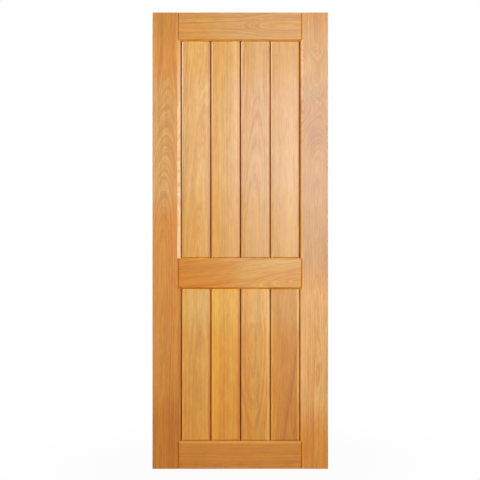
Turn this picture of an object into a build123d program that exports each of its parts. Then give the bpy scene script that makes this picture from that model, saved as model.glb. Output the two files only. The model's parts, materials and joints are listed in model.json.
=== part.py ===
"""A framed and boarded wooden door leaf.

Two stiles run the full height and three rails are tenoned through them and wedged. Between the
rails stand two panels of tongued, grooved and V-jointed boards. Both faces are alike.

X runs across the leaf from the hanging edge, Y through its thickness and Z up from its foot.
Sizes are in millimetres.
"""

import os

from build123d import *

# Leaf
door_width = 762.0
door_height = 1981.0
door_thickness = 44.0
arris = 1.5

# Frame members, each measured with its bevel
stile_width = 120.0
top_rail_height = 122.0
middle_rail_height = 134.0
bottom_rail_height = 120.0
middle_rail_foot = 781.0

# Bevels along the inner edges of the frame, and the V cut where a rail meets a stile
stile_bevel_width = 12.0
rail_bevel_width = 7.0
bevel_depth = 10.0
shoulder_v_depth = 4.0

# Boards
boards_per_panel = 4
board_thickness = 20.0
board_gap = 5.0
v_width = 10.0
end_v_width = 4.5
v_depth = 3.5
tongue_thickness = 5.0
tongue_length = 11.0

# Joinery
rail_groove_depth = 10.0
tenon_thickness = 15.0
tenon_inset = 8.0
haunch_height = 40.0
haunch_length = 14.0
wedge_length = 84.0
wedge_thickness = 6.0

# Clearances
board_clearance = 0.25
tongue_clearance = 0.25
tongue_end_clearance = 0.75
board_head_clearance = 1.0

# Worked out from the above
half_thickness = door_thickness / 2
opening_width = door_width - 2 * stile_width
board_width = (opening_width - (boards_per_panel + 1) * board_gap) / boards_per_panel
middle_rail_top = middle_rail_foot + middle_rail_height
top_rail_foot = door_height - top_rail_height
tongue_reach = tongue_length - board_gap + tongue_end_clearance
tongue_slot = tongue_thickness + 2 * tongue_clearance
board_end_thickness = board_thickness - 2 * v_depth
centre_plane = Plane.YZ.offset(door_width / 2)

# Each rail: its foot, its height, and whether a panel lies below and above it
rails = {
    "bottom_rail": (0.0, bottom_rail_height, False, True),
    "middle_rail": (middle_rail_foot, middle_rail_height, True, True),
    "top_rail": (top_rail_foot, top_rail_height, True, False),
}
# Each panel: the foot and the head of its opening
panels = {
    "lower": (bottom_rail_height, middle_rail_foot),
    "upper": (middle_rail_top, top_rail_foot),
}


def tenon_span(foot, height, panel_below, panel_above):
    """The lowest and highest points of a rail's tenon."""
    beside_panel = rail_groove_depth + tenon_inset
    low = foot + (beside_panel if panel_below else haunch_height)
    high = foot + height - (beside_panel if panel_above else haunch_height)
    return low, high


def haunch_span(foot, height, panel_below, panel_above):
    """The stretch of rail beside the tenon that only a short haunch fills, or None."""
    low, high = tenon_span(foot, height, panel_below, panel_above)
    if not panel_below:
        return foot, low
    if not panel_above:
        return high, foot + height
    return None


def flare_at(x):
    """How far a mortise stands above or below its tenon, x from the stile's outer edge."""
    return wedge_thickness * (1 - x / stile_width)


def wedge_outline(level, side):
    """A wedge seen from the front, on the tenon face at a level, above (1) or below (-1) it."""
    return [
        (0, level),
        (0, level + side * flare_at(0)),
        (wedge_length, level + side * flare_at(wedge_length)),
        (wedge_length, level),
    ]


os.makedirs("parts", exist_ok=True)

# Stiles: a bevelled section run full height, then slotted for the boards and mortised
with BuildPart() as left_stile:
    with BuildSketch():
        with BuildLine():
            edge = Polyline(
                (0, 0),
                (0, -half_thickness),
                (stile_width - stile_bevel_width, -half_thickness),
                (stile_width, bevel_depth - half_thickness),
                (stile_width, 0),
            )
            fillet(edge.vertices().sort_by(Axis.X)[:2].sort_by(Axis.Y)[:1], radius=arris)
            mirror(about=Plane.XZ)
        make_face()
    extrude(amount=door_height)
    for foot, head in panels.values():
        with BuildSketch(Plane.XZ):
            with BuildLine():
                Polyline(
                    (stile_width - tongue_reach, foot - rail_groove_depth),
                    (stile_width, foot - rail_groove_depth),
                    (stile_width, head + rail_groove_depth),
                    (stile_width - tongue_reach, head + rail_groove_depth),
                    close=True,
                )
            make_face()
        extrude(amount=tongue_slot / 2, both=True, mode=Mode.SUBTRACT)
    for rail in rails.values():
        low, high = tenon_span(*rail)
        with BuildSketch(Plane.XZ):
            with BuildLine():
                Polyline(
                    (0, low - wedge_thickness),
                    (stile_width, low),
                    (stile_width, high),
                    (0, high + wedge_thickness),
                    close=True,
                )
            make_face()
            if haunch_span(*rail):
                haunch_low, haunch_high = haunch_span(*rail)
                with Locations((stile_width - haunch_length / 2, (haunch_low + haunch_high) / 2)):
                    Rectangle(haunch_length, haunch_high - haunch_low)
        extrude(amount=tenon_thickness / 2, both=True, mode=Mode.SUBTRACT)

with BuildPart() as right_stile:
    mirror(left_stile.part, about=centre_plane)

for name, stile in {"left_stile": left_stile, "right_stile": right_stile}.items():
    stile.part.label = name
    export_step(stile.part, f"parts/{name}.step")

# Where the front of a rail starts: past the stile's bevel and both slopes of the V
stile_bevel_slope = stile_bevel_width / bevel_depth
v_foot_x = stile_width - stile_bevel_width + shoulder_v_depth * stile_bevel_slope
rail_face_x = v_foot_x + shoulder_v_depth


def make_rail(name, foot, height, panel_below, panel_above):
    """A rail bevelled and grooved beside its panels, scribed over the stiles and tenoned."""
    head = foot + height
    with BuildPart() as rail:
        with BuildSketch(Plane.YZ):
            with Locations((0, foot + height / 2)):
                Rectangle(door_thickness, height)
            for level, inward, beside_panel in ((foot, 1, panel_below), (head, -1, panel_above)):
                if beside_panel:
                    for side in (-1, 1):
                        with BuildLine():
                            Polyline(
                                (side * half_thickness, level),
                                (side * half_thickness, level + inward * rail_bevel_width),
                                (side * (half_thickness - bevel_depth), level),
                                close=True,
                            )
                        make_face(mode=Mode.SUBTRACT)
                    with Locations((0, level + inward * rail_groove_depth / 2)):
                        slot = board_end_thickness + 2 * board_clearance
                        Rectangle(slot, rail_groove_depth, mode=Mode.SUBTRACT)
        extrude(amount=door_width)
        if not (panel_below and panel_above):
            outer_level = foot if panel_above else head
            outer_edges = rail.edges().filter_by(Axis.X).filter_by_position(Axis.Z, outer_level, outer_level)
            fillet(outer_edges, radius=arris)
        with BuildSketch():
            with BuildLine():
                Polyline(
                    (stile_width, 0),
                    (stile_width, bevel_depth - half_thickness),
                    (v_foot_x, shoulder_v_depth - half_thickness),
                    (rail_face_x, -half_thickness),
                    (door_width / 2, -half_thickness),
                )
                mirror(about=Plane.XZ)
                mirror(about=centre_plane)
            make_face()
        extrude(amount=door_height, mode=Mode.INTERSECT)
        low, high = tenon_span(foot, height, panel_below, panel_above)
        with BuildSketch(Plane.XZ):
            with Locations((door_width / 2, (low + high) / 2)):
                Rectangle(door_width, high - low)
            haunch = haunch_span(foot, height, panel_below, panel_above)
            if haunch:
                with Locations((door_width / 2, sum(haunch) / 2)):
                    Rectangle(opening_width + 2 * haunch_length, haunch[1] - haunch[0])
        extrude(amount=tenon_thickness / 2, both=True)
    rail.part.label = name
    export_step(rail.part, f"parts/{name}.step")


for name, rail in rails.items():
    make_rail(name, *rail)


def make_wedge(name, level, side, mirrored):
    """One wedge driven in beside a tenon, from the left edge or mirrored to the right one."""
    with BuildPart() as wedge:
        with BuildSketch(Plane.XZ):
            with BuildLine():
                Polyline(*wedge_outline(level, side), close=True)
            make_face()
        extrude(amount=tenon_thickness / 2, both=True)
        if mirrored:
            mirror(about=centre_plane, mode=Mode.REPLACE)
    wedge.part.label = name
    export_step(wedge.part, f"parts/{name}.step")


for name, rail in rails.items():
    low, high = tenon_span(*rail)
    for mirrored, edge_name in ((False, "left"), (True, "right")):
        make_wedge(f"{name}_{edge_name}_lower_wedge", low, -1, mirrored)
        make_wedge(f"{name}_{edge_name}_upper_wedge", high, 1, mirrored)


def make_board(name, start, foot, head, first):
    """A board with V-chamfered edges, a tongue on the right, and on the left a groove.

    The first board of a panel has a tongue on the left as well, to fit the stile. The ends are chamfered too, and
    thinned to fit the rails.
    """
    end = start + board_width
    web = board_thickness / 2 - v_depth
    if first:
        left_edge = [(start - tongue_length, 0), (start - tongue_length, tongue_thickness / 2)]
        left_edge.append((start, tongue_thickness / 2))
    else:
        left_edge = [(start + tongue_reach, 0), (start + tongue_reach, tongue_slot / 2)]
        left_edge.append((start, tongue_slot / 2))
    with BuildPart() as board:
        with BuildSketch(Plane.XY.offset(foot - rail_groove_depth)):
            with BuildLine():
                Polyline(
                    *left_edge,
                    (start, web),
                    (start + v_width, board_thickness / 2),
                    (end - v_width, board_thickness / 2),
                    (end, web),
                    (end, tongue_thickness / 2),
                    (end + tongue_length, tongue_thickness / 2),
                    (end + tongue_length, 0),
                )
                mirror(about=Plane.XZ)
            make_face()
        extrude(amount=head - foot + 2 * rail_groove_depth - board_head_clearance)
        with BuildSketch(Plane.YZ):
            for level, outward in ((foot, -1), (head, 1)):
                for side in (-1, 1):
                    with BuildLine():
                        Polyline(
                            (side * board_thickness / 2, level - outward * end_v_width),
                            (side * board_end_thickness / 2, level),
                            (side * board_end_thickness / 2, level + outward * rail_groove_depth),
                            (side * board_thickness / 2, level + outward * rail_groove_depth),
                            close=True,
                        )
                    make_face()
        extrude(amount=door_width, mode=Mode.SUBTRACT)
    board.part.label = name
    export_step(board.part, f"parts/{name}.step")


for panel_name, (foot, head) in panels.items():
    for number in range(boards_per_panel):
        start = stile_width + board_gap + number * (board_width + board_gap)
        make_board(f"{panel_name}_board_{number + 1}", start, foot, head, first=number == 0)
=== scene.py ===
"""Dresses the framed and boarded door leaf in sawn, varnished timber and lights it on a white floor."""

import json
import logging
import math
from dataclasses import dataclass
from enum import Enum

import bpy
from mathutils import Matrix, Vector

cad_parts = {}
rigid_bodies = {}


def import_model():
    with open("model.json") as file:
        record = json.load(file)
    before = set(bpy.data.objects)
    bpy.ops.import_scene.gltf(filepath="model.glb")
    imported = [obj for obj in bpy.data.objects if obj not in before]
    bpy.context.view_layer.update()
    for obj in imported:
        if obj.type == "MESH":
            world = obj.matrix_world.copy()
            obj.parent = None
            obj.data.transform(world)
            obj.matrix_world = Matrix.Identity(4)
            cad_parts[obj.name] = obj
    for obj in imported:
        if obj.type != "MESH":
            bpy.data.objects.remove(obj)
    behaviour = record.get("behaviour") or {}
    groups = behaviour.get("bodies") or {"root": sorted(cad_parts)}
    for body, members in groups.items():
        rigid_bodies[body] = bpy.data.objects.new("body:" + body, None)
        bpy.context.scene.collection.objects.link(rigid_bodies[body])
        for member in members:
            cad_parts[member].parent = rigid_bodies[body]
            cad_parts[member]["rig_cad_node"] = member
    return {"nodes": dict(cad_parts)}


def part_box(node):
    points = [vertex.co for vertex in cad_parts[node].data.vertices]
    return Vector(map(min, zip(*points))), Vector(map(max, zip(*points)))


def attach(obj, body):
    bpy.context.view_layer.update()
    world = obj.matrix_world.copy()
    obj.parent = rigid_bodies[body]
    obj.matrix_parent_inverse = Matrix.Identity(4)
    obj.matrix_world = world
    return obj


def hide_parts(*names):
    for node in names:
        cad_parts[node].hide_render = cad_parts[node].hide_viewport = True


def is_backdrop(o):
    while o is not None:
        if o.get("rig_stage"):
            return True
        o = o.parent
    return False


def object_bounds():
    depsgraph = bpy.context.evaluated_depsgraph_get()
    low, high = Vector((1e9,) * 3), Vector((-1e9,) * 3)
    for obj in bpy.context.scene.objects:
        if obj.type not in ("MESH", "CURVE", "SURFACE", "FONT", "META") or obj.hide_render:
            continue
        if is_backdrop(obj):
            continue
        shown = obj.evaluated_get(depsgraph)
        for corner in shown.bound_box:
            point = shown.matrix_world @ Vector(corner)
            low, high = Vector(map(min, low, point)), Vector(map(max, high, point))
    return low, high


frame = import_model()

LOG = logging.getLogger("door_leaf")
BODY = "root"
ARRIS = "arris"
WHITE = (1.0, 1.0, 1.0, 1.0)
RAIL_NODES = ("bottom_rail", "middle_rail", "top_rail")

Socket = bpy.types.NodeSocket
Number = float | Socket
Colour = tuple[float, float, float]
Place = tuple[float, float, float]
Span = tuple[float, float]


class Grain(Enum):
    """The way the fibres of a piece run."""

    UPRIGHT = "along Z"
    LEVEL = "along X"


class Slot(Enum):
    """The record's material slots."""

    FRAME = "frame_wood"
    BOARD = "board_wood"
    WEDGE = "wedge_wood"


def linear(red: int, green: int, blue: int) -> Colour:
    """Turns a screen colour of 0 to 255 into the linear colour that a shader takes.

    Args:
        red: The red level.
        green: The green level.
        blue: The blue level.

    Returns:
        The same colour in linear light.
    """
    levels = []
    for level in (red, green, blue):
        share = level / 255
        levels.append(share / 12.92 if share <= 0.04045 else ((share + 0.055) / 1.055) ** 2.4)
    return levels[0], levels[1], levels[2]


@dataclass
class NodeSheet:
    """The node tree of a material or a world, with short ways to add its nodes and join them.

    Attributes:
        owner: The material or the world.
        output_kind: The type name of its output node.
    """

    owner: bpy.types.Material | bpy.types.World
    output_kind: str = "ShaderNodeOutputMaterial"

    def __post_init__(self) -> None:
        """Starts the tree afresh with an output."""
        self.owner.use_nodes = True
        self.tree = self.owner.node_tree
        self.tree.nodes.clear()
        self.output = self.add(self.output_kind)

    def add(self, kind: str, **settings: object) -> bpy.types.Node:
        """Adds a node.

        Args:
            kind: The node's type name.
            **settings: Properties to set on the node.

        Returns:
            The new node.
        """
        node = self.tree.nodes.new(kind)
        for key, value in settings.items():
            setattr(node, key, value)
        return node

    def put(self, value: object, target: Socket) -> None:
        """Joins a socket to an input, or writes a plain value into it.

        Args:
            value: A socket, a number or a tuple of numbers.
            target: The input that takes it.
        """
        if isinstance(value, Socket):
            self.tree.links.new(value, target)
        else:
            target.default_value = value

    def math(self, operation: str, *values: Number) -> Socket:
        """Adds a Math node.

        Args:
            operation: The node's operation.
            *values: Its inputs in order.

        Returns:
            The result.
        """
        node = self.add("ShaderNodeMath", operation=operation)
        for value, target in zip(values, node.inputs):
            self.put(value, target)
        return node.outputs[0]

    def vector(self, operation: str, *values: object) -> Socket:
        """Adds a Vector Math node.

        Args:
            operation: The node's operation.
            *values: Its inputs in order.

        Returns:
            The resulting vector.
        """
        node = self.add("ShaderNodeVectorMath", operation=operation)
        for value, target in zip(values, node.inputs):
            self.put(value, target)
        return node.outputs[0]

    def distance(self, place: Socket, point: Place) -> Socket:
        """Measures how far a place lies from a point.

        Args:
            place: The place.
            point: The point.

        Returns:
            The distance.
        """
        node = self.add("ShaderNodeVectorMath", operation="DISTANCE")
        self.put(place, node.inputs[0])
        self.put(point, node.inputs[1])
        return node.outputs["Value"]

    def join(self, *values: Number) -> Socket:
        """Makes a vector of three numbers.

        Args:
            *values: The numbers in order.

        Returns:
            The vector.
        """
        node = self.add("ShaderNodeCombineXYZ")
        for value, target in zip(values, node.inputs):
            self.put(value, target)
        return node.outputs[0]

    def split(self, vector: Socket) -> tuple[Socket, Socket, Socket]:
        """Takes a vector apart.

        Args:
            vector: The vector.

        Returns:
            Its three numbers.
        """
        node = self.add("ShaderNodeSeparateXYZ")
        self.put(vector, node.inputs[0])
        return node.outputs[0], node.outputs[1], node.outputs[2]

    def noise(self, place: Socket, pitch: Place, detail: float = 2.0, rough: float = 0.5) -> bpy.types.Node:
        """Adds a noise stretched to its own pitch along each axis.

        Args:
            place: Where to read it, in metres.
            pitch: Cycles a metre across, through and along the piece.
            detail: Octaves of finer noise.
            rough: The weight of the finer octaves.

        Returns:
            The Noise Texture node.
        """
        node = self.add("ShaderNodeTexNoise")
        self.put(self.vector("MULTIPLY", place, pitch), node.inputs["Vector"])
        node.inputs["Scale"].default_value = 1.0
        node.inputs["Detail"].default_value = detail
        node.inputs["Roughness"].default_value = rough
        return node

    def shift(self, noise: bpy.types.Node, reach: float) -> Socket:
        """Makes a noise's colour a shift to all sides.

        Args:
            noise: The Noise Texture node.
            reach: How far a full swing of the noise shifts.

        Returns:
            The shift.
        """
        node = self.add("ShaderNodeVectorMath", operation="SCALE")
        self.put(self.vector("SUBTRACT", noise.outputs["Color"], (0.5, 0.5, 0.5)), node.inputs[0])
        node.inputs["Scale"].default_value = reach
        return node.outputs[0]

    def spread(
        self, value: Number, low: float, high: float, to_low: float = 0.0, to_high: float = 1.0
    ) -> Socket:
        """Maps a range smoothly on to another, and holds it there.

        Args:
            value: The number to map.
            low: The start of its range.
            high: The end of its range.
            to_low: What the start becomes.
            to_high: What the end becomes.

        Returns:
            The mapped number.
        """
        node = self.add("ShaderNodeMapRange", interpolation_type="SMOOTHSTEP")
        for given, target in zip((value, low, high, to_low, to_high), node.inputs):
            self.put(given, target)
        return node.outputs[0]

    def mix(self, share: Number, first: object, second: object, blend: str = "MIX") -> Socket:
        """Mixes two colours.

        Args:
            share: How much of the second shows.
            first: The first colour, a socket or three numbers.
            second: The second colour, a socket or three numbers.
            blend: The way they mix.

        Returns:
            The mixed colour.
        """
        node = self.add("ShaderNodeMix", data_type="RGBA", blend_type=blend)
        for value, key in ((share, "Factor_Float"), (first, "A_Color"), (second, "B_Color")):
            target = next(s for s in node.inputs if s.identifier == key)
            self.put(value if isinstance(value, (float, Socket)) else (*value, 1.0), target)
        return next(s for s in node.outputs if s.identifier == "Result_Color")


@dataclass(frozen=True)
class Hardwood:
    """What all of the leaf's timber has in common.

    Pitches are cycles a metre across, through and along a piece. Tints are colours that are multiplied in.
    Tilts are how far a face's normal leans towards an axis, where a mark starts to show and where it is full.

    Attributes:
        stray_pitch: How often the rings stray from true.
        stray_share: How far they stray, times their wander.
        ripple_pitch: How often they ripple.
        ripple_share: How far they ripple, times their wander.
        streak_pitch: The broad streaks.
        line_pitch: The fine lines.
        mottle_pitch: The mottle.
        hue_pitch: The slow change between warm and cool.
        fibre_pitch: The fibres.
        pore_pitch: The flecks of which the strongest are pores.
        pore_levels: The strength at which a fleck starts to be a pore, and at which it is one.
        seed_step: How far each step of a seed shifts the noise.
        pale: The tint of the palest wood.
        deep: The tint of the deepest.
        warm: The tint where the wood is warmest.
        cool: The tint where it is coolest.
        end_grain: The tint of the faces that the fibres run into.
        end_tilt: The tilt of those faces along the fibres.
        arris: The painted highlight on the eased arrises, multiplied in.
        rail_bevel_light: The painted light on a rail's bevels that face down, which lightens the shade on
            them, and on those that face up.
        board_end_light: The painted light on a board's end chamfers that face down and up.
        bevel_tilt: The tilt of those bevels and chamfers, down or up.
        level_tilt: The tilt of a face too level to be one of them, and of one that isn't.
    """

    stray_pitch: Place = (9.0, 9.0, 2.6)
    stray_share: float = 2.0
    ripple_pitch: Place = (45.0, 45.0, 12.0)
    ripple_share: float = 0.35
    streak_pitch: Place = (20.0, 20.0, 0.9)
    line_pitch: Place = (150.0, 150.0, 6.0)
    mottle_pitch: Place = (55.0, 55.0, 14.0)
    hue_pitch: Place = (14.0, 14.0, 0.7)
    fibre_pitch: Place = (330.0, 330.0, 24.0)
    pore_pitch: Place = (900.0, 900.0, 40.0)
    pore_levels: Span = (0.60, 0.72)
    seed_step: Place = (3.71, 1.93, 2.57)
    pale: Colour = (1.13, 1.24, 1.42)
    deep: Colour = (0.87, 0.76, 0.58)
    warm: Colour = (1.02, 0.98, 0.88)
    cool: Colour = (0.98, 1.02, 1.12)
    end_grain: Colour = (0.58, 0.50, 0.42)
    end_tilt: Span = (0.85, 0.97)
    arris: Colour = (1.10, 1.12, 1.15)
    rail_bevel_light: tuple[Colour, Colour] = ((1.25, 1.25, 1.15), (1.15, 1.50, 3.4))
    board_end_light: tuple[Colour, Colour] = ((0.95, 0.95, 1.40), (1.5, 1.75, 2.2))
    bevel_tilt: Span = (0.3, 0.6)
    level_tilt: Span = (0.98, 0.9)


@dataclass(frozen=True)
class ClearCoat:
    """A satin clear coat over open grain.

    Attributes:
        roughness: How matt it is over the finest fibres.
        fibre_roughness: How much more matt it is over the coarsest.
        bare_roughness: How much more matt the wood is where the coat has sunk in.
        shine: How strongly the coat mirrors.
        bare_shine: How strongly the wood mirrors where it has sunk in.
        ring_height: The share of the relief that the rings have.
        fibre_height: The share that the fibres have.
        pore_depth: The share that the pores have.
        relief: How much of the relief shows.
        relief_depth: The full depth of the relief.
    """

    roughness: float = 0.24
    fibre_roughness: float = 0.12
    bare_roughness: float = 0.3
    shine: float = 0.60
    bare_shine: float = 0.03
    ring_height: float = 0.25
    fibre_height: float = 0.5
    pore_depth: float = 0.6
    relief: float = 0.12
    relief_depth: float = 0.0004


@dataclass(frozen=True)
class Bend:
    """A stretch of a piece along which the log's heart moves towards its face or away from it.

    Attributes:
        start: Where the stretch starts, along the piece from its middle.
        end: Where it ends.
        change: How much deeper behind the face the heart lies at the end.
    """

    start: float
    end: float
    change: float


@dataclass(frozen=True)
class Swirl:
    """A place where the rings bulge out around a branch.

    Attributes:
        across: Its middle, to the side of the piece's middle.
        along: Its middle, along the piece from its middle.
        reach: How far it bends the rings.
        rise: How far out they bulge.
    """

    across: float
    along: float
    reach: float
    rise: float


@dataclass(frozen=True)
class Sawing:
    """How a piece was cut from its log, in metres from the middle of the piece's front face.

    Attributes:
        pith_across: The log's heart, to the side of the piece's middle.
        pith_behind: The log's heart, behind the face at the piece's low or left end.
        drift: How fast the heart moves sideways along the piece.
        bends: Where the heart nears or leaves the face, which draws arches and ovals.
        ring_pitch: The width of one year's growth.
        wander: How far the rings stray from true.
        slope: How fast the fibres climb across the piece.
        swirls: Where the rings bulge.
    """

    pith_across: float
    pith_behind: float
    drift: float = 0.0
    bends: tuple[Bend, ...] = ()
    ring_pitch: float = 0.005
    wander: float = 0.010
    slope: float = 0.0
    swirls: tuple[Swirl, ...] = ()


@dataclass(frozen=True)
class Stripe:
    """A lighter or darker stripe along a piece or along a stretch of it.

    Attributes:
        tint: The colour that it multiplies in.
        across: Its middle, to the side of the piece's middle.
        half_width: How far it reaches to either side.
        drift: How fast it moves sideways along the piece.
        start: Where it starts, along the piece from its middle.
        end: Where it ends.
        soft: How far it fades beyond its start and end.
        core: The share of its half width that has the full tint.
    """

    tint: Colour
    across: float = 0.0
    half_width: float = 1.0
    drift: float = 0.0
    start: float = -2.0
    end: float = 2.0
    soft: float = 0.10
    core: float = 0.2


@dataclass(frozen=True)
class Tone:
    """The colours of one piece of timber.

    Attributes:
        middle: Its mean colour.
        figure: How strongly the growth rings show.
        streak: How strongly the broad streaks show.
        sheen: How much the varnish shines, against the other pieces.
        stripes: Single stripes of another colour.
    """

    middle: Colour
    figure: float = 1.0
    streak: float = 1.0
    sheen: float = 1.0
    stripes: tuple[Stripe, ...] = ()

    def tinted(self, tint: Colour) -> Colour:
        """Gives the mean colour with a tint multiplied in."""
        return self.middle[0] * tint[0], self.middle[1] * tint[1], self.middle[2] * tint[2]


@dataclass(frozen=True)
class Joint:
    """The painted light and shade along a board's V joints.

    Attributes:
        right_chamfer: The colour that the right-hand chamfer multiplies in.
        left_chamfer: The colour that the left-hand chamfer multiplies in.
        right_groove: The colour that the right-hand groove multiplies in.
        left_groove: The colour that the left-hand groove multiplies in.
        left_tongue: How far a tongue stands out on the left.
        right_tongue: How far the tongue stands out on the right.
        chamfer_width: How wide the chamfers are.
        chamfer_soft: How far their tint fades to either side of their edge.
        chamfer_depth: How deep the chamfers are, where the groove starts.
        groove_fade: Where the groove's painted shade starts and is full, behind that depth.
        middle_soft: How far from the middle the left groove's painted shade goes over into the right one's.
    """

    right_chamfer: Colour = (1.0, 1.0, 1.0)
    left_chamfer: Colour = (1.15, 1.16, 1.2)
    right_groove: Colour = (0.34, 0.17, 0.09)
    left_groove: Colour = (0.34, 0.17, 0.09)
    left_tongue: float = 0.0
    right_tongue: float = 0.011
    chamfer_width: float = 0.010
    chamfer_soft: float = 0.0006
    chamfer_depth: float = 0.0035
    groove_fade: Span = (-0.0004, 0.0012)
    middle_soft: float = 0.010


@dataclass(frozen=True)
class VarnishedTimber:
    """Solid hardwood under a satin clear coat, cut from its own place in its own log.

    Attributes:
        sawing: How the piece was cut.
        tone: Its colours.
        seed: Shifts the noise, so that no two pieces match.
        joint: What shows along a board's V joints, if the piece is a board.
        grain: The way the fibres run.
        wood: What it has in common with the other pieces.
        coat: Its clear coat.
    """

    sawing: Sawing
    tone: Tone
    seed: float
    joint: Joint | None = None
    grain: Grain = Grain.UPRIGHT
    wood: Hardwood = Hardwood()
    coat: ClearCoat = ClearCoat()

    def material(self, name: str, low: Vector, high: Vector) -> bpy.types.Material:
        """Builds the material for a piece that fills a box.

        Args:
            name: The material's name.
            low: The piece's lowest corner.
            high: Its highest corner.

        Returns:
            The finished material.
        """
        sheet = NodeSheet(bpy.data.materials.new(name))
        coordinates = sheet.add("ShaderNodeTexCoord")
        normal = coordinates.outputs["Normal"]
        place = self._own_place(sheet, coordinates.outputs["Object"], low, high)
        seeded = self._seeded_place(sheet, place)
        years = self._years(sheet, place, seeded)
        fibre = sheet.noise(seeded, self.wood.fibre_pitch, rough=0.6).outputs["Fac"]
        flecks = sheet.noise(seeded, self.wood.pore_pitch, detail=1.0).outputs["Fac"]
        pores = sheet.spread(flecks, *self.wood.pore_levels)
        colour = self._colour(sheet, seeded, years, fibre, pores)
        for stripe in self.tone.stripes:
            colour = self._striped(sheet, place, colour, stripe)
        bare = self._end_grain(sheet, normal)
        colour = sheet.mix(bare, colour, self.wood.end_grain, "MULTIPLY")
        # Boards get painted light and shade on the chamfers of their V joints, and painted shade in the
        # grooves.
        if self.joint:
            colour, groove = self._joint_light_and_shade(sheet, place, colour, high - low)
            bare = sheet.math("MAXIMUM", bare, groove)
        # Bevels and chamfers that face down, and those that face up, get painted light by the way they face.
        edge_light = self.wood.board_end_light if self.joint else self.wood.rail_bevel_light
        for edges, tint in zip(self._level_edges(sheet, normal), edge_light):
            colour = sheet.mix(edges, colour, tint, "MULTIPLY")
        # The eased arrises get a painted highlight.
        arris = sheet.add("ShaderNodeAttribute", attribute_name=ARRIS).outputs["Fac"]
        colour = sheet.mix(arris, colour, self.wood.arris, "MULTIPLY")
        self._surface(sheet, colour, sheet.math("FRACT", years), fibre, pores, bare)
        return sheet.owner

    def _own_place(self, sheet: NodeSheet, place: Socket, low: Vector, high: Vector) -> Socket:
        """Turns a place in the leaf into a place in the piece.

        Args:
            sheet: The material's nodes.
            place: The place in the leaf.
            low: The piece's lowest corner.
            high: Its highest corner.

        Returns:
            The place across the piece, behind its face and along it.
        """
        middle = (low + high) / 2
        x, y, z = sheet.split(sheet.vector("SUBTRACT", place, (middle.x, low.y, middle.z)))
        if self.grain is Grain.UPRIGHT:
            return sheet.join(x, y, z)
        return sheet.join(z, y, x)

    def _seeded_place(self, sheet: NodeSheet, place: Socket) -> Socket:
        """Shifts the place for the noise.

        Args:
            sheet: The material's nodes.
            place: The place in the piece.

        Returns:
            The place shifted by the seed and along the slope of the fibres.
        """
        step = tuple(self.seed * part for part in self.wood.seed_step)
        climb = sheet.math("MULTIPLY", sheet.split(place)[2], -self.sawing.slope)
        return sheet.vector("ADD", sheet.vector("ADD", place, step), sheet.join(climb, 0.0, 0.0))

    def _years(self, sheet: NodeSheet, place: Socket, seeded: Socket) -> Socket:
        """Counts the log's growth rings out from its heart.

        Args:
            sheet: The material's nodes.
            place: The place in the piece.
            seeded: The same, shifted for its noise.

        Returns:
            The age of the log when each point grew.
        """
        cut = self.sawing
        wood = self.wood
        stray = sheet.shift(sheet.noise(seeded, wood.stray_pitch, 1.0), wood.stray_share * cut.wander)
        ripple = sheet.shift(sheet.noise(seeded, wood.ripple_pitch, 4.0, 0.6), wood.ripple_share * cut.wander)
        across, behind, along = sheet.split(sheet.vector("ADD", sheet.vector("ADD", place, stray), ripple))
        heart_across = sheet.math("MULTIPLY_ADD", along, cut.drift, cut.pith_across)
        heart_behind = cut.pith_behind
        for bend in cut.bends:
            step = sheet.spread(along, bend.start, bend.end, 0.0, bend.change)
            heart_behind = sheet.math("ADD", step, heart_behind)
        sideways = sheet.math("SUBTRACT", across, heart_across)
        inwards = sheet.math("SUBTRACT", behind, heart_behind)
        grown = sheet.distance(sheet.join(sideways, inwards, 0.0), (0.0, 0.0, 0.0))
        for swirl in cut.swirls:
            away = sheet.distance(sheet.join(across, 0.0, along), (swirl.across, 0.0, swirl.along))
            grown = sheet.math("ADD", grown, sheet.spread(away, swirl.reach, 0.0, 0.0, swirl.rise))
        return sheet.math("DIVIDE", grown, cut.ring_pitch)

    def _colour(
        self, sheet: NodeSheet, seeded: Socket, years: Socket, fibre: Socket, pores: Socket
    ) -> Socket:
        """Lays streaks, rings, fibres and pores over each other.

        Args:
            sheet: The material's nodes.
            seeded: The shifted place in the piece.
            years: The age of the log when each point grew.
            fibre: The fibres.
            pores: The pores.

        Returns:
            The timber's colour.
        """
        wood = self.wood
        streaks = sheet.noise(seeded, wood.streak_pitch, rough=0.55).outputs["Fac"]
        lines = sheet.noise(seeded, wood.line_pitch, rough=0.6).outputs["Fac"]
        mottle = sheet.noise(seeded, wood.mottle_pitch, 3.0, 0.65).outputs["Fac"]
        bands = sheet.add("ShaderNodeTexNoise", noise_dimensions="1D")
        sheet.put(sheet.math("ADD", years, self.seed * 17.0), bands.inputs["W"])
        for key, value in (("Scale", 0.7), ("Detail", 2.0), ("Roughness", 0.6)):
            bands.inputs[key].default_value = value
        late = sheet.math("POWER", sheet.math("FRACT", years), 3.0)
        shade = 0.5
        for signal, mean, weight in (
            (streaks, 0.5, 1.5 * self.tone.streak),
            (lines, 0.5, 1.1),
            (mottle, 0.5, 0.9),
            (bands.outputs["Fac"], 0.5, 1.5 * self.tone.figure),
            (late, 0.25, -0.25 * self.tone.figure),
            (fibre, 0.5, 1.1),
            (pores, 0.12, -0.4),
        ):
            swing = sheet.math("MULTIPLY", sheet.math("SUBTRACT", signal, mean), weight)
            shade = sheet.math("ADD", swing, shade)
        shade = sheet.math("MINIMUM", sheet.math("MAXIMUM", shade, 0.0), 1.0)
        colour = sheet.mix(shade, self.tone.tinted(wood.deep), self.tone.tinted(wood.pale))
        hue = sheet.noise(seeded, wood.hue_pitch, 1.0).outputs["Fac"]
        warmth = sheet.mix(sheet.spread(hue, 0.3, 0.7), wood.warm, wood.cool)
        return sheet.mix(1.0, colour, warmth, "MULTIPLY")

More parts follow.
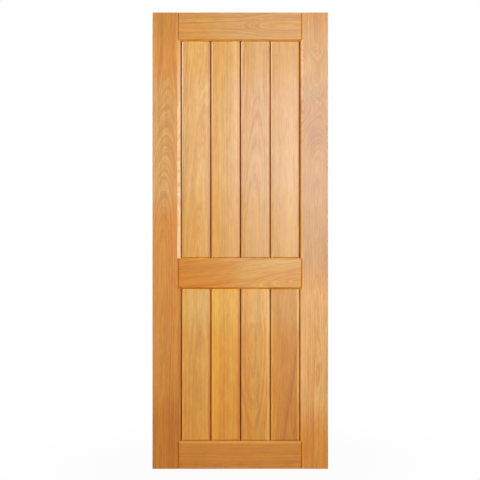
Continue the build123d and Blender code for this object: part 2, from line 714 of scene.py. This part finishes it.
    def _striped(self, sheet: NodeSheet, place: Socket, colour: Socket, stripe: Stripe) -> Socket:
        """Lays one stripe over the colour.

        Args:
            sheet: The material's nodes.
            place: The place in the piece.
            colour: The timber's colour.
            stripe: The stripe.

        Returns:
            The colour with the stripe.
        """
        across, _, along = sheet.split(place)
        middle = sheet.math("MULTIPLY_ADD", along, stripe.drift, stripe.across)
        away = sheet.math("ABSOLUTE", sheet.math("SUBTRACT", across, middle))
        share = sheet.spread(away, stripe.half_width, stripe.core * stripe.half_width)
        for end, outwards in ((stripe.start, -1), (stripe.end, 1)):
            inside = sheet.spread(along, end + outwards * stripe.soft, end)
            share = sheet.math("MULTIPLY", share, inside)
        return sheet.mix(share, colour, stripe.tint, "MULTIPLY")

    def _end_grain(self, sheet: NodeSheet, normal: Socket) -> Socket:
        """Marks the faces that the fibres run into.

        Args:
            sheet: The material's nodes.
            normal: The face's normal.

        Returns:
            1 on those faces, 0 elsewhere.
        """
        x, _, z = sheet.split(normal)
        facing = z if self.grain is Grain.UPRIGHT else x
        return sheet.spread(sheet.math("ABSOLUTE", facing), *self.wood.end_tilt)

    def _level_edges(self, sheet: NodeSheet, normal: Socket) -> list[Socket]:
        """Marks the bevels and chamfers that run level, which get painted light.

        Args:
            sheet: The material's nodes.
            normal: The face's normal.

        Returns:
            1 on those that face down, and 1 on those that face up.
        """
        _, _, z = sheet.split(normal)
        edges = []
        for way in (-1, 1):
            tilted = sheet.spread(z, *(way * tilt for tilt in self.wood.bevel_tilt))
            not_level = sheet.spread(z, *(way * tilt for tilt in self.wood.level_tilt))
            edges.append(sheet.math("MULTIPLY", tilted, not_level))
        return edges

    def _joint_light_and_shade(
        self, sheet: NodeSheet, place: Socket, colour: Socket, size: Vector
    ) -> tuple[Socket, Socket]:
        """Lays the painted light and shade of the V joints over a board's colour.

        Args:
            sheet: The material's nodes.
            place: The place in the board.
            colour: The timber's colour.
            size: The size of the board with its tongues.

        Returns:
            The colour with that painted light and shade, and where the groove is.
        """
        joint = self.joint
        across, behind, _ = sheet.split(place)
        left = joint.left_tongue + joint.chamfer_width - size.x / 2
        right = size.x / 2 - joint.right_tongue - joint.chamfer_width
        for start, inwards, tint in ((left, 1, joint.left_chamfer), (right, -1, joint.right_chamfer)):
            fade = inwards * joint.chamfer_soft
            colour = sheet.mix(sheet.spread(across, start + fade, start - fade), colour, tint, "MULTIPLY")
        from_middle = sheet.math("ABSOLUTE", sheet.math("SUBTRACT", behind, size.y / 2))
        depth = sheet.math("SUBTRACT", size.y / 2, from_middle)
        # The groove behind the chamfers is painted dark, as shade.
        groove = sheet.spread(depth, *(joint.chamfer_depth + beyond for beyond in joint.groove_fade))
        to_right = sheet.spread(across, -joint.middle_soft, joint.middle_soft)
        painted_shade = sheet.mix(to_right, joint.left_groove, joint.right_groove)
        return sheet.mix(groove, colour, painted_shade, "MULTIPLY"), groove

    def _surface(
        self, sheet: NodeSheet, colour: Socket, ring: Socket, fibre: Socket, pores: Socket, bare: Socket
    ) -> None:
        """Joins colour, gloss and relief in the shader.

        Args:
            sheet: The material's nodes.
            colour: The timber's colour.
            ring: How late in its year each point grew.
            fibre: The fibres.
            pores: The pores.
            bare: Where the varnish has sunk in or doesn't reach.
        """
        coat = self.coat
        shader = sheet.add("ShaderNodeBsdfPrincipled")
        sheet.put(colour, shader.inputs["Base Color"])
        gloss = sheet.math("MULTIPLY_ADD", fibre, coat.fibre_roughness, coat.roughness)
        sheet.put(sheet.math("MULTIPLY_ADD", bare, coat.bare_roughness, gloss), shader.inputs["Roughness"])
        shine = coat.shine * self.tone.sheen
        mirrored = sheet.math("MULTIPLY_ADD", bare, coat.bare_shine - shine, shine)
        sheet.put(mirrored, shader.inputs["Specular IOR Level"])
        raised = sheet.math("MULTIPLY", fibre, coat.fibre_height)
        raised = sheet.math("MULTIPLY_ADD", ring, coat.ring_height, raised)
        height = sheet.math("SUBTRACT", raised, sheet.math("MULTIPLY", pores, coat.pore_depth))
        bump = sheet.add("ShaderNodeBump")
        bump.inputs["Strength"].default_value = coat.relief
        bump.inputs["Distance"].default_value = coat.relief_depth
        sheet.put(height, bump.inputs["Height"])
        sheet.put(bump.outputs["Normal"], shader.inputs["Normal"])
        sheet.put(shader.outputs["BSDF"], sheet.output.inputs["Surface"])


@dataclass
class Timber:
    """One piece of the leaf, with its arrises eased by hand.

    Attributes:
        node: The CAD node that it stands for.
        slot: The record's material slot of the piece; not used.
        finish: Its timber.
        ease: How far the arrises are rounded.
        ease_steps: The flats that make up a rounded arris.
        merge_distance: How near to each other corners are one.
        flat_angle: The turn in degrees up to which two faces are one flat face.
        sharp_angle: The turn in degrees from which an edge is an arris.
    """

    node: str
    slot: Slot
    finish: VarnishedTimber
    ease: float
    ease_steps: int = 3
    merge_distance: float = 1e-5
    flat_angle: float = 1.0
    sharp_angle: float = 25.0

    def build(self) -> bpy.types.Object:
        """Copies the solid, eases its arrises and dresses it.

        Returns:
            The finished piece.
        """
        piece = self._copy_solid()
        low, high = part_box(self.node)
        timber = self.finish.material(f"{self.node}_timber", low, high)
        piece.data.materials.clear()
        piece.data.materials.append(timber)
        piece.data.materials.append(timber)
        self._ease_arrises(piece)
        piece.data.materials.pop()
        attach(piece, BODY)
        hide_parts(self.node)
        LOG.info("%s: %d faces", piece.name, len(piece.data.polygons))
        return piece

    def _copy_solid(self) -> bpy.types.Object:
        """Copies the solid's mesh, merges its corners and clears its flat faces of spare edges.

        Returns:
            The copy.
        """
        bpy.ops.object.select_all(action="DESELECT")
        solid = frame["nodes"][self.node]
        solid.select_set(True)
        bpy.context.view_layer.objects.active = solid
        bpy.ops.object.duplicate()
        piece = bpy.context.active_object
        piece.name = f"{self.node}_dressed"
        piece.data.name = piece.name
        del piece["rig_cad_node"]
        bpy.ops.object.mode_set(mode="EDIT")
        bpy.ops.mesh.select_all(action="SELECT")
        bpy.ops.mesh.customdata_custom_splitnormals_clear()
        bpy.ops.mesh.remove_doubles(threshold=self.merge_distance)
        bpy.ops.mesh.dissolve_limited(angle_limit=math.radians(self.flat_angle))
        bpy.ops.object.mode_set(mode="OBJECT")
        return piece

    def _ease_arrises(self, piece: bpy.types.Object) -> None:
        """Rounds the sharp edges, marks them for the material and shades the faces smooth between them.

        Args:
            piece: The piece, whose second material marks the new faces until they have an attribute.
        """
        bevel = piece.modifiers.new("eased_arrises", "BEVEL")
        bevel.width = self.ease
        bevel.segments = self.ease_steps
        bevel.limit_method = "ANGLE"
        bevel.angle_limit = math.radians(self.sharp_angle)
        bevel.miter_outer = "MITER_ARC"
        bevel.material = 1
        bpy.ops.object.modifier_apply(modifier=bevel.name)
        # The mark tells the material where the arrises' painted highlight goes.
        mark = piece.data.attributes.new(ARRIS, "FLOAT", "FACE")
        for face in piece.data.polygons:
            mark.data[face.index].value = float(face.material_index)
            face.material_index = 0
        bpy.ops.object.shade_smooth()
        weighted = piece.modifiers.new("flat_faces", "WEIGHTED_NORMAL")
        weighted.keep_sharp = True
        bpy.ops.object.modifier_apply(modifier=weighted.name)


@dataclass
class FrameMembers:
    """The stiles and rails.

    Attributes:
        members: The timber of each, by node name.
        ease: How far their arrises are rounded.
    """

    members: dict[str, VarnishedTimber]
    ease: float = 0.0012

    def build(self) -> list[bpy.types.Object]:
        """Builds and dresses every frame member, and gives them."""
        return [Timber(node, Slot.FRAME, finish, self.ease).build() for node, finish in self.members.items()]


@dataclass
class BoardPanel:
    """One panel of V-jointed boards.

    Attributes:
        name: Upper or lower.
        boards: The timber of each board, from the left.
        ease: How far their arrises are rounded.
    """

    name: str
    boards: tuple[VarnishedTimber, ...]
    ease: float = 0.0008

    def build(self) -> list[bpy.types.Object]:
        """Builds and dresses the boards.

        Returns:
            The finished pieces.
        """
        pieces = []
        for number, finish in enumerate(self.boards, start=1):
            node = f"{self.name}_board_{number}"
            pieces.append(Timber(node, Slot.BOARD, finish, self.ease).build())
        return pieces


@dataclass
class TenonWedges:
    """The wedges beside the ends of the tenons, on the leaf's two long edges.

    Attributes:
        rails: The rails whose tenons are wedged.
        tone: The wedges' colours.
        sawing: How they were cut.
        first_seed: The seed of the first wedge, from which the others count on.
        ease: How far their arrises are rounded.
    """

    rails: tuple[str, ...]
    tone: Tone
    sawing: Sawing
    first_seed: float = 40.0
    ease: float = 0.0003

    def build(self) -> list[bpy.types.Object]:
        """Builds and dresses the wedges.

        Returns:
            The finished pieces.
        """
        pieces = []
        for rail in self.rails:
            for edge in ("left", "right"):
                for level in ("lower", "upper"):
                    seed = self.first_seed + len(pieces)
                    finish = VarnishedTimber(self.sawing, self.tone, seed, grain=Grain.LEVEL)
                    node = f"{rail}_{edge}_{level}_wedge"
                    pieces.append(Timber(node, Slot.WEDGE, finish, self.ease).build())
        return pieces


@dataclass(frozen=True)
class SoftLamp:
    """A square lamp of even light.

    Attributes:
        name: What it is called.
        place: Where it stands.
        target: Where it points.
        size: Its side.
        power: Its power in watts.
    """

    name: str
    place: Place
    target: Place
    size: float
    power: float

    def build(self) -> None:
        """Hangs the lamp."""
        bpy.ops.object.light_add(type="AREA", location=self.place)
        lamp = bpy.context.active_object
        lamp.name = self.name
        aim = Vector(self.target) - Vector(self.place)
        lamp.rotation_euler = aim.to_track_quat("-Z", "Y").to_euler()
        lamp.data.shape = "SQUARE"
        lamp.data.size = self.size
        lamp.data.energy = self.power


@dataclass
class Studio:
    """A white floor and sky with soft lamps.

    Attributes:
        lamps: The lamps.
        floor_size: The side of the floor.
        floor_drop: How far the floor lies under the leaf's foot.
        floor_grey: How much light the floor throws back.
        shade_start: How far from the middle of the leaf's foot the shadow starts to fade.
        shade_reach: How far from there it shows on the floor.
        shade_share: How much of the white at the leaf's foot is the floor's own.
        fill: The strength of the light from all round.
    """

    lamps: tuple[SoftLamp, ...]
    floor_size: float = 60.0
    floor_drop: float = 0.006
    floor_grey: float = 0.45
    shade_start: float = 0.3
    shade_reach: float = 1.4
    shade_share: float = 0.96
    fill: float = 0.18

    def build(self) -> None:
        """Sets the floor, the lamps and the sky."""
        self._floor()
        for lamp in self.lamps:
            lamp.build()
        self._sky()

    def _seen_directly(self, sheet: NodeSheet) -> Socket:
        """Marks the rays that show the background as such.

        Args:
            sheet: The background's nodes.

        Returns:
            1 for those rays, 0 for the others.
        """
        path = sheet.add("ShaderNodeLightPath")
        seen = sheet.math("MAXIMUM", path.outputs["Is Camera Ray"], path.outputs["Is Glossy Ray"])
        return sheet.math("MAXIMUM", seen, path.outputs["Is Transmission Ray"])

    def _floor(self) -> None:
        """Lays a white floor that keeps a soft shadow around the leaf."""
        low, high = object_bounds()
        foot = ((low.x + high.x) / 2, (low.y + high.y) / 2, low.z)
        bpy.ops.object.select_all(action="DESELECT")
        bpy.ops.mesh.primitive_plane_add(size=self.floor_size, location=(0.0, 0.0, -self.floor_drop))
        floor = bpy.context.active_object
        floor.name = "studio_floor"
        sheet = NodeSheet(bpy.data.materials.new("studio_white"))
        matt = sheet.add("ShaderNodeBsdfDiffuse")
        sheet.put((self.floor_grey, self.floor_grey, self.floor_grey, 1.0), matt.inputs["Color"])
        glow = sheet.add("ShaderNodeEmission")
        sheet.put(WHITE, glow.inputs["Color"])
        sheet.put(1.0, glow.inputs["Strength"])
        away = sheet.distance(sheet.add("ShaderNodeTexCoord").outputs["Object"], foot)
        white = sheet.spread(away, self.shade_start, self.shade_reach, self.shade_share, 1.0)
        mixed = sheet.add("ShaderNodeMixShader")
        sheet.put(sheet.math("MULTIPLY", self._seen_directly(sheet), white), mixed.inputs[0])
        sheet.put(matt.outputs[0], mixed.inputs[1])
        sheet.put(glow.outputs[0], mixed.inputs[2])
        sheet.put(mixed.outputs[0], sheet.output.inputs["Surface"])
        floor.data.materials.append(sheet.owner)
        floor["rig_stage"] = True

    def _sky(self) -> None:
        """Surrounds the leaf with white, and lights it softly from all round."""
        world = bpy.data.worlds.new("studio_sky")
        bpy.context.scene.world = world
        sheet = NodeSheet(world, "ShaderNodeOutputWorld")
        sky = sheet.add("ShaderNodeBackground")
        sheet.put(WHITE, sky.inputs["Color"])
        level = sheet.spread(self._seen_directly(sheet), 0.0, 1.0, self.fill, 1.0)
        sheet.put(level, sky.inputs["Strength"])
        sheet.put(sky.outputs[0], sheet.output.inputs["Surface"])


@dataclass
class PhotoCamera:
    """A level camera square to the leaf, a little to the right of it, with a shifted lens.

    Attributes:
        distance: From the leaf's front to the camera.
        to_right: How far the camera stands right of the picture's middle.
        picture_side: What the square picture covers at the leaf's front.
        middle_left: How far the picture's middle lies left of the leaf's middle.
        middle_above: How far it lies above it.
        sensor: The sensor's width in millimetres.
    """

    distance: float = 4.0
    to_right: float = 0.45
    picture_side: float = 2.0832
    middle_left: float = 0.0009
    middle_above: float = 0.00295
    sensor: float = 36.0

    def build(self) -> None:
        """Sets up the camera and takes it into use."""
        low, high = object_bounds()
        middle = (low + high) / 2
        place = (
            middle.x - self.middle_left + self.to_right,
            low.y - self.distance,
            middle.z + self.middle_above,
        )
        bpy.ops.object.camera_add(location=place, rotation=(math.radians(90.0), 0.0, 0.0))
        camera = bpy.context.active_object
        camera.name = "photo_camera"
        camera.data.sensor_width = self.sensor
        camera.data.lens = self.sensor * self.distance / self.picture_side
        camera.data.shift_x = -self.to_right / self.picture_side
        camera.data.dof.use_dof = False
        bpy.context.scene.camera = camera


def rail_spans() -> list[Span]:
    """Finds where the rails meet the stiles.

    Returns:
        The foot and head of each rail from the lowest up, along a stile from its middle.
    """
    stile_low, stile_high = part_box("left_stile")
    middle = (stile_low.z + stile_high.z) / 2
    return [(low.z - middle, high.z - middle) for low, high in map(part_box, RAIL_NODES)]


def edge_line(tint: Colour, across: float, half_width: float, span: Span, core: float = 0.8) -> Stripe:
    """Tints a line along a stile's inner edge, with clean ends; it carries the bevels' painted highlights and
    one line of painted shade.

    Args:
        tint: The colour that it multiplies in.
        across: Its middle, to the side of the stile's middle.
        half_width: How far it reaches to either side.
        span: Where it starts and ends, along the stile from its middle.
        core: The share of its half width that has the full tint.

    Returns:
        The line.
    """
    return Stripe(tint, across, half_width, start=span[0], end=span[1], soft=0.003, core=core)


def shoulder_line(tint: Colour, across: float, span: Span) -> Stripe:
    """Tints a stile's slope of the V beside one rail, with painted shade on the left stile and painted light
    on the right one.
    """
    return Stripe(tint, across, 0.0035, start=span[0], end=span[1], soft=0.001, core=0.7)


RAIL_SPANS = rail_spans()
LOWER_SPAN = (RAIL_SPANS[0][1], RAIL_SPANS[1][0])
UPPER_SPAN = (RAIL_SPANS[1][1], RAIL_SPANS[2][0])
# Painted shade on the left stile's slope of the V beside each rail, from the lowest up.
SHOULDER_SHADES = ((0.92, 0.82, 0.40), (0.85, 0.75, 0.45), (0.97, 0.88, 0.42))
# Painted shade on each rail's slopes of the V at its left and right shoulders.
LEFT_SHOULDER_SHADE = Stripe((0.90, 0.85, 0.72), start=-0.2695, end=-0.2655, soft=0.001)
RIGHT_SHOULDER_SHADE = Stripe((0.75, 0.63, 0.45), start=0.2630, end=0.2695, soft=0.001)
BEVEL_ACROSS = 0.0550
BEVEL_REACH = 0.0075
# The left bevel's painted highlight pales downwards, in steps that end at these heights
HIGHLIGHT_STEP_HEADS = (0.06, 0.14, 0.22, 0.30)

LEFT_STILE = VarnishedTimber(
    Sawing(-0.010, 0.055, 0.02, (Bend(-0.04, 0.72, 0.055),), ring_pitch=0.0022, wander=0.006),
    Tone(
        linear(197, 125, 38),
        figure=1.3,
        sheen=0.85,
        stripes=(
            Stripe((0.89, 0.92, 0.72), start=0.92, soft=0.10),
            Stripe((1.10, 1.20, 1.20), 0.040, 0.016, start=0.80, soft=0.06),
            # Painted sheen: the stile is painted paler and cooler around the height of the strongest
            # reflection.
            Stripe((1.03, 1.32, 3.05), start=0.23, end=0.62, soft=0.16),
            Stripe((0.89, 0.77, 0.25), end=-0.78, soft=0.20),
            Stripe((0.98, 0.93, 0.84), 0.022, 0.016, end=0.0, soft=0.20),
            # Painted highlight on the bevel beside the upper panel, paling downwards in steps, and a painted
            # highlight line on it beside the lower panel.
            edge_line((1.18, 1.40, 1.75), BEVEL_ACROSS, BEVEL_REACH, UPPER_SPAN),
            *(
                edge_line((1.07, 1.17, 1.68), BEVEL_ACROSS, BEVEL_REACH, (UPPER_SPAN[0], head))
                for head in HIGHLIGHT_STEP_HEADS
            ),
            edge_line((1.10, 1.25, 1.90), 0.0585, 0.0025, LOWER_SPAN, core=0.6),
            # Painted shade on the slope of the V beside each rail.
            *(shoulder_line(painted_shade, 0.0505, span) for painted_shade, span in zip(SHOULDER_SHADES, RAIL_SPANS)),
        ),
    ),
    seed=1.0,
)
RIGHT_STILE = VarnishedTimber(
    Sawing(
        0.012,
        0.045,
        bends=(Bend(0.34, 0.56, 0.038), Bend(0.60, 0.88, -0.026)),
        ring_pitch=0.0024,
        wander=0.011,
        swirls=(
            Swirl(-0.040, 0.76, 0.09, 0.016),
            Swirl(0.020, 0.70, 0.10, -0.006),
            Swirl(-0.020, 0.58, 0.08, 0.010),
        ),
    ),
    Tone(
        linear(201, 139, 68),
        figure=1.3,
        stripes=(
            # Painted light on the bevel that faces left, with a painted highlight line on it and painted
            # shade at its foot beside the upper panel.
            edge_line((1.20, 1.30, 1.55), -BEVEL_ACROSS, BEVEL_REACH, LOWER_SPAN),
            edge_line((1.40, 1.58, 2.10), -BEVEL_ACROSS, BEVEL_REACH, UPPER_SPAN),
            edge_line((1.15, 1.26, 1.80), -0.0510, 0.0050, UPPER_SPAN, core=0.6),
            edge_line((0.90, 0.66, 0.30), -0.0600, 0.0030, UPPER_SPAN, core=0.6),
            # Painted light on the slope of the V beside each rail.
            *(shoulder_line((1.35, 1.45, 1.60), -0.0500, span) for span in RAIL_SPANS),
            Stripe((0.83, 0.86, 0.98), start=-0.04, end=0.62, soft=0.14),
            Stripe((0.98, 0.95, 0.68), start=-0.16, end=0.10, soft=0.08),
            Stripe((0.98, 1.12, 1.44), start=0.68, end=0.86, soft=0.14),
            Stripe((0.88, 0.85, 0.92), 0.014, 0.065, start=0.44, end=0.48, soft=0.05),
            Stripe((1.17, 1.30, 1.56), start=-0.66, end=-0.30, soft=0.20),
            Stripe((1.03, 0.86, 0.25), end=-0.88, soft=0.22),
        ),
    ),
    seed=2.0,
)
TOP_RAIL = VarnishedTimber(
    Sawing(
        0.010,
        0.045,
        bends=(Bend(-0.03, 0.17, -0.030), Bend(0.20, 0.40, 0.025)),
        ring_pitch=0.005,
        wander=0.012,
    ),
    Tone(
        linear(192, 134, 45),
        figure=1.3,
        streak=0.5,
        stripes=(
            Stripe((1.00, 0.91, 0.72), end=-0.22, soft=0.14),
            # Painted sheen: the right half is painted paler and cooler, towards the strongest reflection.
            Stripe((1.01, 1.05, 1.95), start=0.00, soft=0.14),
            LEFT_SHOULDER_SHADE,
            RIGHT_SHOULDER_SHADE,
        ),
    ),
    seed=3.0,
    grain=Grain.LEVEL,
)
MIDDLE_RAIL = VarnishedTimber(
    Sawing(-0.055, 0.040, 0.11, (Bend(0.03, 0.26, -0.030),), ring_pitch=0.004, slope=0.10),
    Tone(
        linear(198, 123, 28),
        figure=1.6,
        sheen=0.70,
        stripes=(
            # Painted sheen: the left end is painted deeper and the right part paler and cooler, towards the
            # strongest reflection.
            Stripe((0.99, 0.95, 0.40), end=-0.20, soft=0.14),
            Stripe((1.06, 1.38, 4.20), start=0.06, soft=0.14),
            Stripe((1.05, 1.13, 1.50), 0.062, 0.045),
            Stripe((1.03, 1.06, 0.95), -0.055, 0.030),
            # Painted highlight on the head bevel to the left, and painted shade on it to the right.
            Stripe((1.00, 1.03, 1.70), 0.0645, 0.006, end=-0.06, soft=0.14, core=0.75),
            Stripe((0.95, 0.82, 0.45), 0.0645, 0.006, start=0.06, soft=0.14, core=0.75),
            LEFT_SHOULDER_SHADE,
            RIGHT_SHOULDER_SHADE,
        ),
    ),
    seed=4.0,
    grain=Grain.LEVEL,
)
BOTTOM_RAIL = VarnishedTimber(
    Sawing(0.16, 0.05, ring_pitch=0.004),
    Tone(
        linear(194, 122, 32),
        sheen=0.9,
        stripes=(Stripe((0.95, 0.93, 0.80), end=-0.20, soft=0.12), LEFT_SHOULDER_SHADE, RIGHT_SHOULDER_SHADE),
    ),
    seed=5.0,
    grain=Grain.LEVEL,
)
FRAME_MEMBERS = FrameMembers(
    {
        "left_stile": LEFT_STILE,
        "right_stile": RIGHT_STILE,
        "top_rail": TOP_RAIL,
        "middle_rail": MIDDLE_RAIL,
        "bottom_rail": BOTTOM_RAIL,
    }
)

# Painted sheen on the upper boards: paler and cooler around the height of the strongest reflection, and
# painted darker and warmer towards their foot.
UPPER_PAINTED_SHEEN = (
    Stripe((1.02, 1.08, 1.66), start=-0.11, end=0.24, soft=0.14),
    Stripe((1.0, 0.97, 0.80), end=-0.36, soft=0.10),
)
# Painted sheen on the lower boards: paler and cooler towards their head, nearer the strongest reflection, and
# painted darker and warmer towards their foot.
LOWER_PAINTED_SHEEN = (
    Stripe((1.02, 1.16, 1.80), start=0.24, soft=0.14),
    Stripe((1.0, 1.04, 1.34), start=-0.10, end=0.24, soft=0.14),
    Stripe((0.97, 0.92, 0.80), end=-0.12, soft=0.14),
)
# Painted light and shade of the boards' V joints: the chamfers are painted darker on the left boards and
# paler towards the right lamp, and the grooves are painted dark as shade.
FIRST_UPPER_JOINT = Joint(
    (0.80, 0.58, 0.25), (0.88, 0.84, 0.75), left_groove=(0.74, 0.50, 0.26), left_tongue=0.011
)
FIRST_LOWER_JOINT = Joint((0.92, 0.68, 0.38), left_groove=(0.38, 0.21, 0.10), left_tongue=0.011)
SHADED_JOINT = Joint((0.86, 0.75, 0.72), (1.03, 1.05, 1.0))
WARM_JOINT = Joint((0.88, 0.70, 0.52))
BRIGHT_JOINT = Joint((1.14, 1.08, 0.98), (1.15, 1.18, 1.3))
PALE_JOINT = Joint((1.06, 1.26, 2.2), (1.0, 1.08, 1.4))
PALEST_JOINT = Joint((1.38, 1.80, 4.0), (1.15, 1.3, 2.0))
UPPER_PANEL = BoardPanel(
    "upper",
    (
        VarnishedTimber(
            Sawing(0.030, 0.012, 0.06, (Bend(-0.50, -0.20, 0.022), Bend(-0.20, 0.45, 0.030))),
            Tone(linear(207, 152, 69), stripes=UPPER_PAINTED_SHEEN),
            seed=11.0,
            joint=FIRST_UPPER_JOINT,
        ),
        VarnishedTimber(
            Sawing(0.11, 0.05),
            Tone(
                linear(204, 146, 57),
                figure=0.7,
                stripes=(
                    *UPPER_PAINTED_SHEEN,
                    Stripe((1.02, 0.96, 0.78), -0.045, 0.035),
                    Stripe((1.02, 1.03, 1.30), 0.035, 0.028),
                ),
            ),
            seed=12.0,
            joint=SHADED_JOINT,
        ),
        VarnishedTimber(
            Sawing(-0.004, 0.012, 0.04, (Bend(-0.45, 0.30, 0.050),)),
            Tone(linear(197, 140, 66), stripes=UPPER_PAINTED_SHEEN),
            seed=13.0,
            joint=BRIGHT_JOINT,
        ),
        VarnishedTimber(
            Sawing(-0.13, 0.03),
            Tone(linear(199, 144, 71), figure=0.6, stripes=UPPER_PAINTED_SHEEN),
            seed=14.0,
            joint=BRIGHT_JOINT,
        ),
    ),
)
LOWER_PANEL = BoardPanel(
    "lower",
    (
        VarnishedTimber(
            Sawing(0.015, 0.02, bends=(Bend(-0.10, 0.30, 0.020),)),
            Tone(linear(206, 144, 50), figure=0.6, stripes=LOWER_PAINTED_SHEEN),
            seed=21.0,
            joint=FIRST_LOWER_JOINT,
        ),
        VarnishedTimber(
            Sawing(0.12, 0.05),
            Tone(linear(214, 144, 33), figure=0.7, stripes=LOWER_PAINTED_SHEEN),
            seed=22.0,
            joint=WARM_JOINT,
        ),
        VarnishedTimber(
            Sawing(-0.017, 0.055, bends=(Bend(-0.33, 0.08, -0.042), Bend(0.11, 0.25, 0.020))),
            Tone(
                linear(207, 139, 47),
                figure=0.8,
                stripes=(*LOWER_PAINTED_SHEEN, Stripe((1.06, 1.10, 1.05), 0.040, 0.022, drift=-0.02)),
            ),
            seed=23.0,
            joint=PALE_JOINT,
        ),
        VarnishedTimber(
            Sawing(0.09, 0.05, 0.15),
            Tone(
                linear(199, 126, 33),
                stripes=(
                    *LOWER_PAINTED_SHEEN,
                    Stripe((0.90, 0.84, 0.85), 0.036, 0.020, drift=0.15),
                    Stripe((1.08, 1.12, 1.20), -0.030, 0.005, drift=0.07),
                    Stripe((1.06, 1.06, 1.00), -0.050, 0.020, drift=0.03),
                ),
            ),
            seed=24.0,
            joint=PALEST_JOINT,
        ),
    ),
)
WEDGES = TenonWedges(RAIL_NODES, Tone(linear(205, 145, 60)), Sawing(0.0, 0.03, ring_pitch=0.003))
STUDIO = Studio(
    (
        SoftLamp("front_lamp", (0.90, -4.5, 1.70), (0.40, 0.0, 1.0), 2.1, 86.0),
        SoftLamp("left_lamp", (-2.6, -3.0, 2.7), (0.38, 0.0, 1.0), 1.6, 92.0),
        SoftLamp("right_lamp", (3.0, -1.1, 1.9), (0.2, 0.0, 1.4), 1.2, 36.0),
        SoftLamp("rear_lamp", (0.2, 4.5, 1.9), (0.38, 0.0, 1.0), 2.4, 70.0),
    )
)


def main() -> None:
    """Builds the leaf's sub-assemblies in order, then the studio and the camera."""
    logging.basicConfig(level=logging.INFO, format="%(name)s: %(message)s")
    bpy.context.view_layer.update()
    for assembly in (FRAME_MEMBERS, UPPER_PANEL, LOWER_PANEL, WEDGES):
        pieces = assembly.build()
        LOG.info("%s: %d pieces", type(assembly).__name__, len(pieces))
    STUDIO.build()
    PhotoCamera().build()
    bpy.context.scene.view_settings.view_transform = "Standard"


if __name__ == "__main__":
    main()
